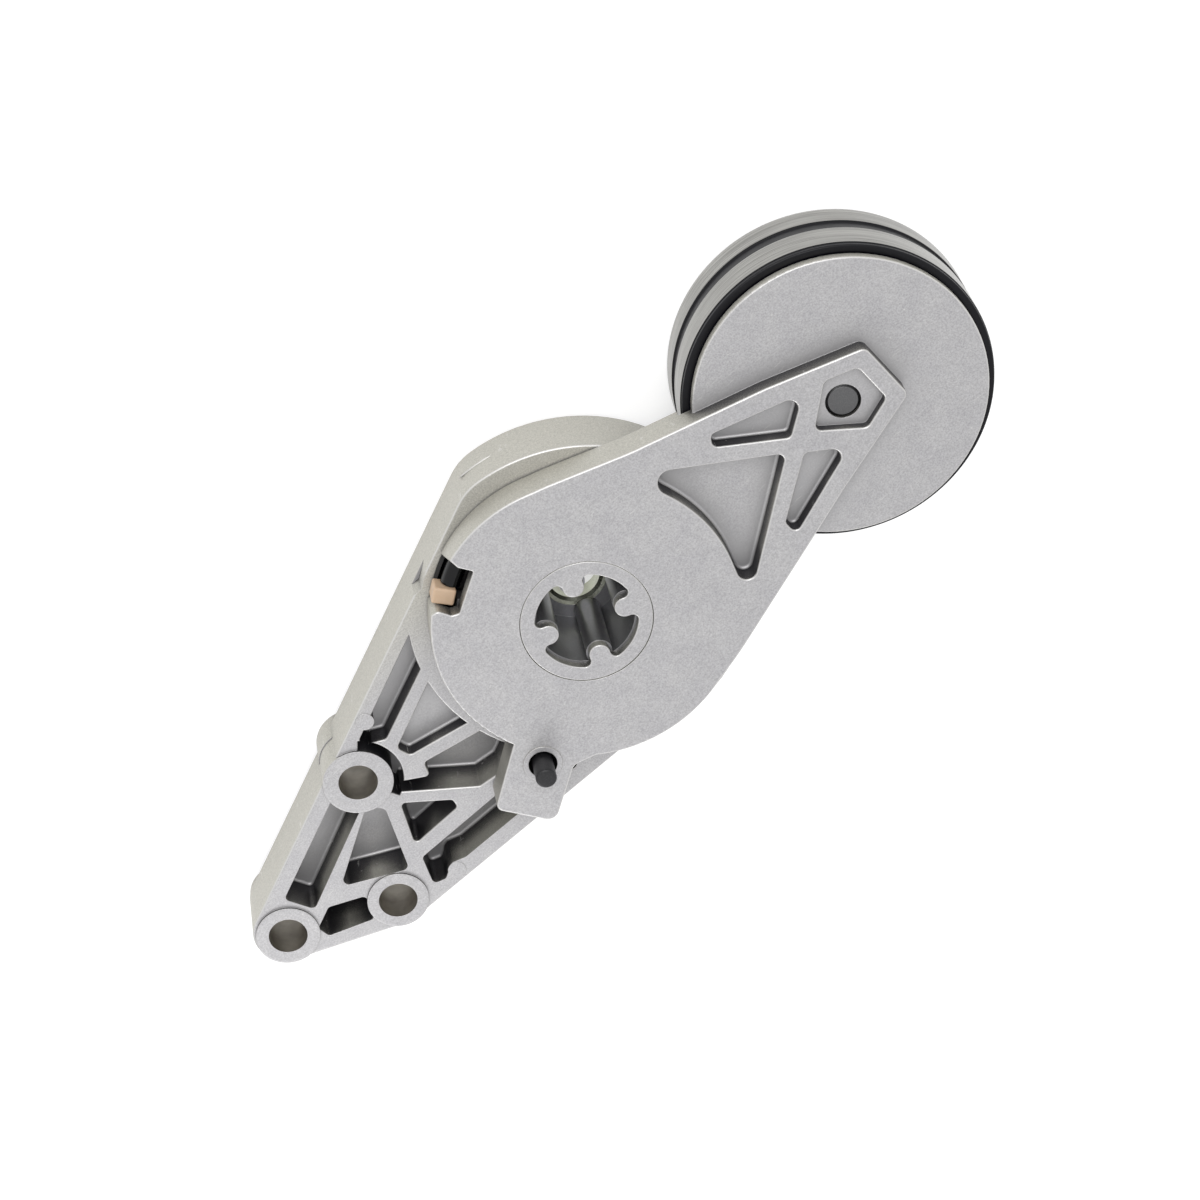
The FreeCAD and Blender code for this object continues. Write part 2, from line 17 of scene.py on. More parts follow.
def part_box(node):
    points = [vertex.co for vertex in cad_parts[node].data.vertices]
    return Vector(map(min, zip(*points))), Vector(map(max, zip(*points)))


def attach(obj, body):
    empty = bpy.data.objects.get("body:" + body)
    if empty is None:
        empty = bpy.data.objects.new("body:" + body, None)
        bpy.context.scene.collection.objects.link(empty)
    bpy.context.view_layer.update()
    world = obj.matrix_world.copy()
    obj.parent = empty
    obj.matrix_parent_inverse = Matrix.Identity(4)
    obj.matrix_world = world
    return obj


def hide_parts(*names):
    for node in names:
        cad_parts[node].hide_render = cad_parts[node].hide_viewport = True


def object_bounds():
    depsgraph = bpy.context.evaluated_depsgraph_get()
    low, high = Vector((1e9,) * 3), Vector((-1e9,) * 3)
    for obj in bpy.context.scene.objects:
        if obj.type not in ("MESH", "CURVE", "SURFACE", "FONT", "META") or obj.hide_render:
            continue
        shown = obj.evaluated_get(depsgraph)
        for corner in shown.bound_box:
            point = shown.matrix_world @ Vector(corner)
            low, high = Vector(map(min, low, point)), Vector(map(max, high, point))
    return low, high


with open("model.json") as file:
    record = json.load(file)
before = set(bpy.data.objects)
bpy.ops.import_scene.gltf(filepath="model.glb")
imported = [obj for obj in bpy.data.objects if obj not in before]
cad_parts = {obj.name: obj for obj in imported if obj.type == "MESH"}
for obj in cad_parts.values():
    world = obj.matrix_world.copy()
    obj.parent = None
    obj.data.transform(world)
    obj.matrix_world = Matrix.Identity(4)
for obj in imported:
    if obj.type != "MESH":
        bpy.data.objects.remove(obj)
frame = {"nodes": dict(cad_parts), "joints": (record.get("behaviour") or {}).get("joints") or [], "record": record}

LOG = logging.getLogger("tensioner")
MM = 0.001
CAD_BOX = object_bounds()


def joint_place(name: str) -> Vector:
    """Point on a joint's axis, from the record.

    Args:
        name: the joint's name.

    Returns:
        The point in metres.
    """
    for joint in frame["joints"]:
        if joint["name"] == name:
            return Vector(joint["pos_m"])
    raise KeyError(name)


PULLEY_AXIS = joint_place("pulley_spin")


class Body(Enum):
    """The moving bodies a piece can ride on."""

    BRACKET = "bracket"
    ARM = "arm"
    PULLEY = "pulley"
    PIN = "pin"


class Slot(Enum):
    """Material slots of the record; no piece here takes its finish from them."""

    CASTING = "cast_alu"
    BLACK_STEEL = "black_steel"
    ZINC = "zinc_steel"
    NYLON = "nylon"
    SPRING = "spring_steel"
    TURNED = "turned_steel"


# ---------------------------------------------------------------------------------------------
# Colour and shader nodes


def paint(code: str) -> tuple[float, float, float, float]:
    """Linear colour of an sRGB hex code.

    Args:
        code: six hex digits after a hash.

    Returns:
        Red, green, blue and an alpha of one.
    """
    parts = [int(code[i : i + 2], 16) / 255.0 for i in (1, 3, 5)]
    linear = [c / 12.92 if c <= 0.04045 else ((c + 0.055) / 1.055) ** 2.4 for c in parts]
    return (linear[0], linear[1], linear[2], 1.0)


def add(
    tree: bpy.types.NodeTree,
    kind: str,
    settings: dict[str, object] | None = None,
    sockets: dict[str | int, object] | None = None,
) -> bpy.types.Node:
    """Adds one shader node with its settings and links.

    Args:
        tree: the node tree.
        kind: the node's type after the word ShaderNode.
        settings: attributes to set on the node.
        sockets: input name or index to a value, or to the output socket that feeds it.

    Returns:
        The new node.
    """
    node = tree.nodes.new("ShaderNode" + kind)
    for key, value in (settings or {}).items():
        setattr(node, key, value)
    for key, value in (sockets or {}).items():
        if isinstance(value, bpy.types.NodeSocket):
            tree.links.new(value, node.inputs[key])
        else:
            node.inputs[key].default_value = value
    return node


def new_material(name: str) -> tuple[bpy.types.Material, bpy.types.NodeTree]:
    """Empty material with its node tree.

    Args:
        name: the material's name.

    Returns:
        The material and its cleared tree.
    """
    material = bpy.data.materials.new(name)
    material.use_nodes = True
    material.node_tree.nodes.clear()
    return material, material.node_tree


def surface(tree: bpy.types.NodeTree, sockets: dict[str | int, object]) -> None:
    """Ends a material in one principled surface.

    Args:
        tree: the node tree.
        sockets: the surface's inputs.
    """
    shader = add(tree, "BsdfPrincipled", sockets=sockets)
    add(tree, "OutputMaterial", sockets={"Surface": shader.outputs["BSDF"]})


# ---------------------------------------------------------------------------------------------
# Finishes


@dataclass(frozen=True)
class TumbledDieCasting:
    """Die-cast aluminium, tumbled bright: satin grain, small nicks, scratches, painted rim highlights.

    Faces are a soft neutral grey. Open side walls carry painted light: they are painted a little
    warmer and lighter than the faces. Pockets and bores carry painted shade: where ambient
    occlusion is low they darken, the floors to grey and the walls to near black. Rims that lean
    between wall and face carry a painted highlight, in the colour of the real nicks and
    scratches. Between two places along Y the faces take on the walls' painted warm light; left
    alone, that stretch lies far off the part.
    """

    name: str = "die_cast_aluminium_tumbled"
    face: str = "#a9a8a9"
    face_dull: str = "#a3a2a4"
    # Painted light: open side walls are painted a little lighter and warmer than the faces.
    wall: str = "#acaaa2"
    # Painted shade in pockets and bores: a grey for the floors, near black for the walls.
    pocket_floor_shade: str = "#a2a1a2"
    pocket_wall_shade: str = "#29282c"
    # Colour of the real nicks and scratches, also used for the painted highlight on the rims.
    wear_and_highlight: str = "#c4c3c1"
    grain_mm: float = 0.35
    peel_mm: float = 1.3
    mottle_mm: float = 6.0
    nick_mm: float = 3.2
    scratch_mm: float = 2.0
    edge_mm: float = 0.26
    hollow_mm: float = 7.0
    roughness: float = 0.46
    metallic: float = 0.6
    # Painted warm light: the faces take on the walls' tone between these two places along Y.
    warm_light_from_mm: float = 1000.0
    warm_light_to_mm: float = 1020.0

    def material(self) -> bpy.types.Material:
        """Builds the casting's material.

        Returns:
            The material.
        """
        material, tree = new_material(self.name)
        coord = add(tree, "TexCoord")
        place = coord.outputs["Object"]
        mottle = add(tree, "TexNoise", sockets={
            "Vector": place, "Scale": 1.0 / (self.mottle_mm * MM), "Detail": 4.0,
            "Roughness": 0.65})
        grain = add(tree, "TexNoise", sockets={
            "Vector": place, "Scale": 1.0 / (self.grain_mm * MM), "Detail": 2.0,
            "Roughness": 0.6})
        peel = add(tree, "TexNoise", sockets={
            "Vector": place, "Scale": 1.0 / (self.peel_mm * MM), "Detail": 2.0})
        rounded = add(tree, "Bevel", {"samples": 4}, {"Radius": self.edge_mm * MM})
        lean = self.lean(tree, rounded.outputs["Normal"])
        open_sky = add(tree, "AmbientOcclusion", {"samples": 5, "only_local": True}, {
            "Distance": self.hollow_mm * MM})
        tone = add(tree, "MapRange", sockets={
            "Value": mottle.outputs["Fac"], "From Min": 0.34, "From Max": 0.66})
        skin = add(tree, "Mix", {"data_type": "RGBA"}, {
            0: tone.outputs["Result"], 6: paint(self.face_dull), 7: paint(self.face)})
        upright = add(tree, "MapRange", sockets={
            "Value": lean, "From Min": 0.75, "From Max": 0.25})
        across = add(tree, "SeparateXYZ", sockets={"Vector": place})
        # Painted light: open walls, and the faces past the first place along Y, are painted lighter and warmer.
        warm_light = add(tree, "MapRange", sockets={
            "Value": across.outputs["Y"], "From Min": self.warm_light_from_mm * MM,
            "From Max": self.warm_light_to_mm * MM, "To Max": 0.85})
        warm = add(tree, "Math", {"operation": "MAXIMUM"}, {
            0: upright.outputs["Result"], 1: warm_light.outputs["Result"]})
        sided = add(tree, "Mix", {"data_type": "RGBA"}, {
            0: warm.outputs["Value"], 6: skin.outputs[2], 7: paint(self.wall)})
        flecks = add(tree, "MapRange", sockets={
            "Value": grain.outputs["Fac"], "From Min": 0.30, "From Max": 0.70,
            "To Min": 0.80, "To Max": 1.17})
        grained = add(tree, "VectorMath", {"operation": "SCALE"}, {
            0: sided.outputs[2], "Scale": flecks.outputs["Result"]})
        # Painted shade: where ambient occlusion is low the colour darkens to the pocket colours, steep walls more
        # than floors.
        recess_shade = add(tree, "Mix", {"data_type": "RGBA"}, {
            0: upright.outputs["Result"], 6: paint(self.pocket_floor_shade),
            7: paint(self.pocket_wall_shade)})
        shade = add(tree, "MapRange", sockets={
            "Value": open_sky.outputs["AO"], "From Min": 0.92, "From Max": 0.56})
        steep = add(tree, "MapRange", sockets={
            "Value": upright.outputs["Result"], "To Min": 1.0, "To Max": 2.4})
        depth = add(tree, "Math", {"operation": "MULTIPLY", "use_clamp": True}, {
            0: shade.outputs["Result"], 1: steep.outputs["Result"]})
        sunk = add(tree, "Mix", {"data_type": "RGBA"}, {
            0: depth.outputs["Value"], 6: grained.outputs["Vector"], 7: recess_shade.outputs[2]})
        # Painted highlight on leaning rims in the open, joined with the real nicks and scratches.
        rim = self.rim(tree, lean, open_sky.outputs["AO"])
        worn = add(tree, "Math", {"operation": "MAXIMUM", "use_clamp": True}, {
            0: rim, 1: self.marks(tree, place)})
        colour = add(tree, "Mix", {"data_type": "RGBA"}, {
            0: worn.outputs["Value"], 6: sunk.outputs[2], 7: paint(self.wear_and_highlight)})
        polish = add(tree, "MapRange", sockets={
            "Value": worn.outputs["Value"], "To Min": self.roughness,
            "To Max": self.roughness - 0.14})
        height = add(tree, "Math", {"operation": "MULTIPLY_ADD"}, {
            0: grain.outputs["Fac"], 1: 0.35, 2: peel.outputs["Fac"]})
        bump = add(tree, "Bump", sockets={
            "Height": height.outputs["Value"], "Strength": 0.5, "Distance": 0.04 * MM,
            "Normal": rounded.outputs["Normal"]})
        surface(tree, {
            "Base Color": colour.outputs[2], "Metallic": self.metallic,
            "Roughness": polish.outputs["Result"], "Normal": bump.outputs["Normal"]})
        return material

    def lean(self, tree: bpy.types.NodeTree,
             normal: bpy.types.NodeSocket) -> bpy.types.NodeSocket:
        """How far the surface faces up or down.

        Args:
            tree: the node tree.
            normal: the rounded normal.

        Returns:
            The socket: one on a flat face, nought on a wall.
        """
        parts = add(tree, "SeparateXYZ", sockets={"Vector": normal})
        size = add(tree, "Math", {"operation": "ABSOLUTE"}, {0: parts.outputs["Z"]})
        return size.outputs["Value"]

    def rim(self, tree: bpy.types.NodeTree, lean: bpy.types.NodeSocket,
            sky: bpy.types.NodeSocket) -> bpy.types.NodeSocket:
        """Mask of the painted highlight on the rims: leaning surface that stands in the open.

        Args:
            tree: the node tree.
            lean: how far the surface faces up or down.
            sky: how open the surroundings are.

        Returns:
            The socket of the mask.
        """
        off_wall = add(tree, "MapRange", sockets={
            "Value": lean, "From Min": 0.22, "From Max": 0.5})
        off_face = add(tree, "MapRange", sockets={
            "Value": lean, "From Min": 0.99, "From Max": 0.93})
        proud = add(tree, "MapRange", sockets={
            "Value": sky, "From Min": 0.8, "From Max": 0.94, "To Max": 0.85})
        both = add(tree, "Math", {"operation": "MULTIPLY"}, {
            0: off_wall.outputs["Result"], 1: off_face.outputs["Result"]})
        all_three = add(tree, "Math", {"operation": "MULTIPLY"}, {
            0: both.outputs["Value"], 1: proud.outputs["Result"]})
        return all_three.outputs["Value"]

    def marks(self, tree: bpy.types.NodeTree,
              place: bpy.types.NodeSocket) -> bpy.types.NodeSocket:
        """Mask of the tumbling nicks and the hairline scratches.

        Args:
            tree: the node tree.
            place: object coordinates.

        Returns:
            The socket of the mask.
        """
        bend = add(tree, "TexNoise", sockets={
            "Vector": place, "Scale": 1.0 / (1.2 * MM), "Detail": 2.0})
        shifted = add(tree, "VectorMath", {"operation": "MULTIPLY_ADD"}, {
            0: bend.outputs["Color"], 1: (0.7 * MM, 0.7 * MM, 0.7 * MM), 2: place})
        cells = add(tree, "TexVoronoi", sockets={
            "Vector": shifted.outputs["Vector"], "Scale": 1.0 / (self.nick_mm * MM),
            "Randomness": 1.0})
        nick = add(tree, "MapRange", sockets={
            "Value": cells.outputs["Distance"], "From Min": 0.085, "From Max": 0.03,
            "To Max": 0.6})
        pick = add(tree, "SeparateColor", sockets={"Color": cells.outputs["Color"]})
        chosen = add(tree, "Math", {"operation": "GREATER_THAN"}, {
            0: pick.outputs["Red"], 1: 0.6})
        spots = add(tree, "Math", {"operation": "MULTIPLY"}, {
            0: nick.outputs["Result"], 1: chosen.outputs["Value"]})
        mask = spots.outputs["Value"]
        for turn, stretch in ((0.55, 16.0), (-0.9, 12.0), (2.1, 20.0)):
            laid = add(tree, "Mapping", sockets={
                "Vector": shifted.outputs["Vector"], "Rotation": (0.0, 0.0, turn),
                "Scale": (1.0, stretch, 1.0)})
            hair = add(tree, "TexNoise", sockets={
                "Vector": laid.outputs["Vector"], "Scale": 0.3 / (self.scratch_mm * MM),
                "Detail": 1.0})
            line = add(tree, "MapRange", sockets={
                "Value": hair.outputs["Fac"], "From Min": 0.745, "From Max": 0.79,
                "To Max": 0.4})
            both = add(tree, "Math", {"operation": "MAXIMUM"}, {
                0: mask, 1: line.outputs["Result"]})
            mask = both.outputs["Value"]
        return mask


@dataclass(frozen=True)
class TurnedSteel:
    """Low-carbon steel with a lathe finish: fine rings around the axis, streaked gloss.

    The rings follow the piece's UV map, whose second coordinate is the distance along the
    turned profile. Real tool marks are 0.1 mm apart and are drawn about three times as wide.
    """

    name: str = "turned_steel"
    light: str = "#aaa9a5"
    dark: str = "#6b6a67"
    ring_mm: float = 0.28
    band_mm: float = 2.2
    roughness: float = 0.27
    metallic: float = 1.0

    def material(self) -> bpy.types.Material:
        """Builds the turned steel's material.

        Returns:
            The material.
        """
        material, tree = new_material(self.name)
        laid = add(tree, "UVMap")
        rings = add(tree, "Mapping", sockets={
            "Vector": laid.outputs["UV"], "Scale": (6.0, 1.0 / (self.ring_mm * MM), 1.0)})
        fine = add(tree, "TexNoise", {"noise_dimensions": "2D"}, {
            "Vector": rings.outputs["Vector"], "Scale": 1.0, "Detail": 2.0})
        bands = add(tree, "Mapping", sockets={
            "Vector": laid.outputs["UV"], "Scale": (14.0, 1.0 / (self.band_mm * MM), 1.0)})
        broad = add(tree, "TexNoise", {"noise_dimensions": "2D"}, {
            "Vector": bands.outputs["Vector"], "Scale": 1.0, "Detail": 3.0})
        mixed = add(tree, "Math", {"operation": "MULTIPLY_ADD"}, {
            0: broad.outputs["Fac"], 1: 0.45, 2: fine.outputs["Fac"]})
        tone = add(tree, "MapRange", sockets={
            "Value": mixed.outputs["Value"], "From Min": 0.42, "From Max": 1.05})
        colour = add(tree, "Mix", {"data_type": "RGBA"}, {
            0: tone.outputs["Result"], 6: paint(self.dark), 7: paint(self.light)})
        gloss = add(tree, "MapRange", sockets={
            "Value": fine.outputs["Fac"], "To Min": self.roughness - 0.05,
            "To Max": self.roughness + 0.12})
        bump = add(tree, "Bump", sockets={
            "Height": fine.outputs["Fac"], "Strength": 0.5, "Distance": 0.02 * MM})
        surface(tree, {
            "Base Color": colour.outputs[2], "Metallic": self.metallic,
            "Roughness": gloss.outputs["Result"], "Normal": bump.outputs["Normal"],
            "Anisotropic": 0.4})
        return material


@dataclass(frozen=True)
class BlackCoat:
    """Dark finish on steel: phosphate, electrocoat or spring enamel, by its numbers.

    A thin dark film: crystalline and dull as phosphate, smooth and wet-looking as enamel.
    """

    name: str
    colour: str
    worn: str
    roughness: float
    coat: float = 0.0
    metallic: float = 0.0
    specular: float = 0.5
    grain_mm: float = 0.4
    relief_mm: float = 0.02
    edge_mm: float = 0.2

    def material(self) -> bpy.types.Material:
        """Builds the dark finish's material.

        Returns:
            The material.
        """
        material, tree = new_material(self.name)
        coord = add(tree, "TexCoord")
        grain = add(tree, "TexNoise", sockets={
            "Vector": coord.outputs["Object"], "Scale": 1.0 / (self.grain_mm * MM),
            "Detail": 3.0, "Roughness": 0.65})
        cloud = add(tree, "TexNoise", sockets={
            "Vector": coord.outputs["Object"], "Scale": 1.0 / (8.0 * self.grain_mm * MM),
            "Detail": 2.0})
        rounded = add(tree, "Bevel", {"samples": 4}, {"Radius": self.edge_mm * MM})
        true = add(tree, "NewGeometry")
        facing = add(tree, "VectorMath", {"operation": "DOT_PRODUCT"}, {
            0: rounded.outputs["Normal"], 1: true.outputs["Normal"]})
        edge = add(tree, "MapRange", sockets={
            "Value": facing.outputs["Value"], "From Min": 0.99, "From Max": 0.88,
            "To Max": 0.55})
        speck = add(tree, "MapRange", sockets={
            "Value": grain.outputs["Fac"], "From Min": 0.45, "From Max": 0.85,
            "To Max": 0.35})
        rub = add(tree, "Math", {"operation": "MAXIMUM"}, {
            0: edge.outputs["Result"], 1: speck.outputs["Result"]})
        colour = add(tree, "Mix", {"data_type": "RGBA"}, {
            0: rub.outputs["Value"], 6: paint(self.colour), 7: paint(self.worn)})
        gloss = add(tree, "MapRange", sockets={
            "Value": cloud.outputs["Fac"], "To Min": self.roughness - 0.06,
            "To Max": self.roughness + 0.10})
        bump = add(tree, "Bump", sockets={
            "Height": grain.outputs["Fac"], "Strength": 0.5,
            "Distance": self.relief_mm * MM, "Normal": rounded.outputs["Normal"]})
        surface(tree, {
            "Base Color": colour.outputs[2], "Metallic": self.metallic,
            "Roughness": gloss.outputs["Result"], "Coat Weight": self.coat,
            "Coat Roughness": 0.08, "Specular IOR Level": self.specular,
            "Normal": bump.outputs["Normal"]})
        return material


@dataclass(frozen=True)
class NaturalNylon:
    """Undyed nylon, injection moulded: creamy tan, slightly translucent, fine spark texture."""

    name: str = "nylon_natural_moulded"
    colour: str = "#b89f86"
    shade: str = "#957c64"
    texture_mm: float = 0.35
    roughness: float = 0.48

    def material(self) -> bpy.types.Material:
        """Builds the nylon's material.

        Returns:
            The material.
        """
        material, tree = new_material(self.name)
        coord = add(tree, "TexCoord")
        spark = add(tree, "TexNoise", sockets={
            "Vector": coord.outputs["Object"], "Scale": 1.0 / (self.texture_mm * MM),
            "Detail": 2.0})
        flow = add(tree, "TexNoise", sockets={
            "Vector": coord.outputs["Object"], "Scale": 1.0 / (4.0 * MM), "Detail": 2.0})
        tone = add(tree, "MapRange", sockets={
            "Value": flow.outputs["Fac"], "From Min": 0.3, "From Max": 0.75, "To Max": 0.4})
        colour = add(tree, "Mix", {"data_type": "RGBA"}, {
            0: tone.outputs["Result"], 6: paint(self.colour), 7: paint(self.shade)})
        bump = add(tree, "Bump", sockets={
            "Height": spark.outputs["Fac"], "Strength": 0.3, "Distance": 0.02 * MM})
        surface(tree, {
            "Base Color": colour.outputs[2], "Roughness": self.roughness,
            "Subsurface Weight": 0.12, "Subsurface Scale": 0.6 * MM,
            "Subsurface Radius": (1.0, 0.7, 0.45), "Normal": bump.outputs["Normal"]})
        return material


@dataclass(frozen=True)
class SmoothMetal:
    """Plated or ground steel: even, with a soft cloud in the gloss and faint rings."""

    name: str
    light: str
    dark: str
    roughness: float
    ring_mm: float = 0.5
    ring_depth: float = 0.25

    def material(self) -> bpy.types.Material:
        """Builds the smooth metal's material.

        Returns:
            The material.
        """
        material, tree = new_material(self.name)
        coord = add(tree, "TexCoord")
        cloud = add(tree, "TexNoise", sockets={
            "Vector": coord.outputs["Object"], "Scale": 1.0 / (5.0 * MM), "Detail": 3.0})
        height = add(tree, "SeparateXYZ", sockets={"Vector": coord.outputs["Object"]})
        lifted = add(tree, "Math", {"operation": "MULTIPLY"}, {
            0: height.outputs["Z"], 1: 1.0 / (self.ring_mm * MM)})
        rings = add(tree, "TexNoise", {"noise_dimensions": "1D"}, {
            "W": lifted.outputs["Value"], "Scale": 1.0, "Detail": 1.0})
        tone = add(tree, "MapRange", sockets={
            "Value": cloud.outputs["Fac"], "From Min": 0.3, "From Max": 0.7})
        colour = add(tree, "Mix", {"data_type": "RGBA"}, {
            0: tone.outputs["Result"], 6: paint(self.dark), 7: paint(self.light)})
        gloss = add(tree, "MapRange", sockets={
            "Value": cloud.outputs["Fac"], "To Min": self.roughness - 0.05,
            "To Max": self.roughness + 0.08})
        bump = add(tree, "Bump", sockets={
            "Height": rings.outputs["Fac"], "Strength": self.ring_depth,
            "Distance": 0.02 * MM})
        surface(tree, {
            "Base Color": colour.outputs[2], "Metallic": 1.0,
            "Roughness": gloss.outputs["Result"], "Normal": bump.outputs["Normal"]})
        return material


@dataclass(frozen=True)
class MouldedRubber:
    """Nitrile rubber, compression moulded: matt charcoal with a dusty bloom."""

    name: str = "nitrile_rubber_moulded"
    colour: str = "#1b1b1c"
    bloom: str = "#2e2d2c"

    def material(self) -> bpy.types.Material:
        """Builds the rubber's material.

        Returns:
            The material.
        """
        material, tree = new_material(self.name)
        coord = add(tree, "TexCoord")
        dust = add(tree, "TexNoise", sockets={
            "Vector": coord.outputs["Object"], "Scale": 1.0 / (1.5 * MM), "Detail": 4.0})
        colour = add(tree, "Mix", {"data_type": "RGBA"}, {
            0: dust.outputs["Fac"], 6: paint(self.colour), 7: paint(self.bloom)})
        bump = add(tree, "Bump", sockets={
            "Height": dust.outputs["Fac"], "Strength": 0.3, "Distance": 0.02 * MM})
        surface(tree, {
            "Base Color": colour.outputs[2], "Roughness": 0.68,
            "Normal": bump.outputs["Normal"]})
        return material


@dataclass
class Finishes:
    """Every material of the tensioner, made once and shared."""

    casting: bpy.types.Material = field(
        default_factory=lambda: TumbledDieCasting().material())
    # Painted warm light on the bracket's faces, rising from 12 to 28 mm along Y.
    bracket_casting: bpy.types.Material = field(default_factory=lambda: TumbledDieCasting(
        "die_cast_aluminium_bracket", warm_light_from_mm=12.0, warm_light_to_mm=28.0).material())
    drilled: bpy.types.Material = field(default_factory=lambda: SmoothMetal(
        "aluminium_drilled_bore", "#b8b3aa", "#8e8981", 0.42, ring_mm=0.9,
        ring_depth=0.5).material())
    pin_black: bpy.types.Material = field(default_factory=lambda: BlackCoat(
        "black_oxide_pin", "#19191b", "#454548", 0.4, metallic=0.3, grain_mm=0.3,
        relief_mm=0.01).material())
    turned: bpy.types.Material = field(default_factory=lambda: TurnedSteel().material())
    electrocoat: bpy.types.Material = field(default_factory=lambda: BlackCoat(
        "electrocoated_steel_black", "#08080d", "#15151b", 0.3, specular=0.22,
        grain_mm=0.8, relief_mm=0.004).material())
    phosphate: bpy.types.Material = field(default_factory=lambda: BlackCoat(
        "phosphated_steel_black", "#565657", "#8a8a8b", 0.45, metallic=0.6,
        grain_mm=0.3).material())
    oxide: bpy.types.Material = field(default_factory=lambda: BlackCoat(
        "black_oxide_steel_tube", "#87878a", "#a8a6a4", 0.33, metallic=0.8,
        grain_mm=0.5, relief_mm=0.01).material())
    enamel: bpy.types.Material = field(default_factory=lambda: BlackCoat(
        "spring_enamel_gloss_black", "#020203", "#09090c", 0.12, coat=0.25,
        specular=0.2, grain_mm=1.6, relief_mm=0.02).material())
    nylon: bpy.types.Material = field(default_factory=lambda: NaturalNylon().material())
    rubber: bpy.types.Material = field(default_factory=lambda: MouldedRubber().material())
    zinc: bpy.types.Material = field(default_factory=lambda: SmoothMetal(
        "zinc_plated_steel", "#d9dccb", "#a9ab98", 0.24).material())
    ground: bpy.types.Material = field(default_factory=lambda: SmoothMetal(
        "ground_bearing_steel", "#cfd0d2", "#a8a9ac", 0.14).material())
    cage: bpy.types.Material = field(default_factory=lambda: NaturalNylon(
        "glass_filled_nylon_dark", "#3a332c", "#241f1b").material())


# ---------------------------------------------------------------------------------------------
# Meshes


def mesh_from_grid(
    name: str, points: np.ndarray, uv: np.ndarray, caps: tuple[bool, bool] = (False, False)
) -> bpy.types.Object:
    """Object from a grid of points that closes on itself in its second direction.

    Face (i, j) joins rows i and i + 1 at columns j and j + 1, wound so that it faces away
    from the tube's middle when columns run anticlockwise seen along rising rows.

    Args:
        name: the object's name.
        points: rows by columns by 3 positions.
        uv: rows by columns + 1 by 2 coordinates, the last column closing the wrap.
        caps: whether the first and last rows are closed by a flat face.

    Returns:
        The linked object.
    """
    rows, cols, _ = points.shape
    i, j = np.meshgrid(np.arange(rows - 1), np.arange(cols), indexing="ij")
    k = (j + 1) % cols
    quads = np.stack([i * cols + j, i * cols + k, (i + 1) * cols + k, (i + 1) * cols + j], -1)
    faces = quads.reshape(-1, 4).tolist()
    corner = np.stack([uv[i, j], uv[i, j + 1], uv[i + 1, j + 1], uv[i + 1, j]], -2)
    corner = corner.reshape(-1, 2)
    if caps[0]:
        faces.append(list(range(cols))[::-1])
        corner = np.concatenate([corner, uv[0, :cols][::-1]])
    if caps[1]:
        base = (rows - 1) * cols
        faces.append(list(range(base, base + cols)))
        corner = np.concatenate([corner, uv[rows - 1, :cols]])
    mesh = bpy.data.meshes.new(name)
    mesh.from_pydata(points.reshape(-1, 3).tolist(), [], faces)
    layer = mesh.uv_layers.new(name="UVMap")
    layer.data.foreach_set("uv", corner.ravel())
    mesh.shade_smooth()
    mesh.set_sharp_from_angle(angle=math.radians(38.0))
    mesh.update()
    piece = bpy.data.objects.new(name, mesh)
    bpy.context.scene.collection.objects.link(piece)
    return piece


def rounded_profile(corners: list[tuple[float, float, float]], steps: int = 5) -> np.ndarray:
    """Closed profile whose corners are replaced by arcs.

    Each corner's arc is tangent to both of its sides: it starts and ends at radius divided by
    the tangent of half the corner angle from the corner.

    Args:
        corners: radius, height and corner radius, in millimetres.
        steps: points on each arc.

    Returns:
        Points as an array of radius and height, in millimetres.
    """
    out: list[np.ndarray] = []
    count = len(corners)
    for n, (r, z, turn) in enumerate(corners):
        here = np.array([r, z])
        before = np.array(corners[n - 1][:2]) - here
        after = np.array(corners[(n + 1) % count][:2]) - here
        a = before / np.linalg.norm(before)
        b = after / np.linalg.norm(after)
        half = math.acos(float(np.clip(a @ b, -1.0, 1.0))) / 2.0
        if turn <= 0.0 or half > math.pi / 2 - 0.01:
            out.append(here[None])
            continue
        middle = here + (a + b) / np.linalg.norm(a + b) * turn / math.sin(half)
        start = here + a * turn / math.tan(half)
        end = here + b * turn / math.tan(half)
        first = math.atan2(*(start - middle)[::-1])
        sweep = (math.atan2(*(end - middle)[::-1]) - first + math.pi) % (2 * math.pi) - math.pi
        angle = first + sweep * np.linspace(0.0, 1.0, steps)
        out.append(middle + turn * np.stack([np.cos(angle), np.sin(angle)], -1))
    return np.concatenate(out)


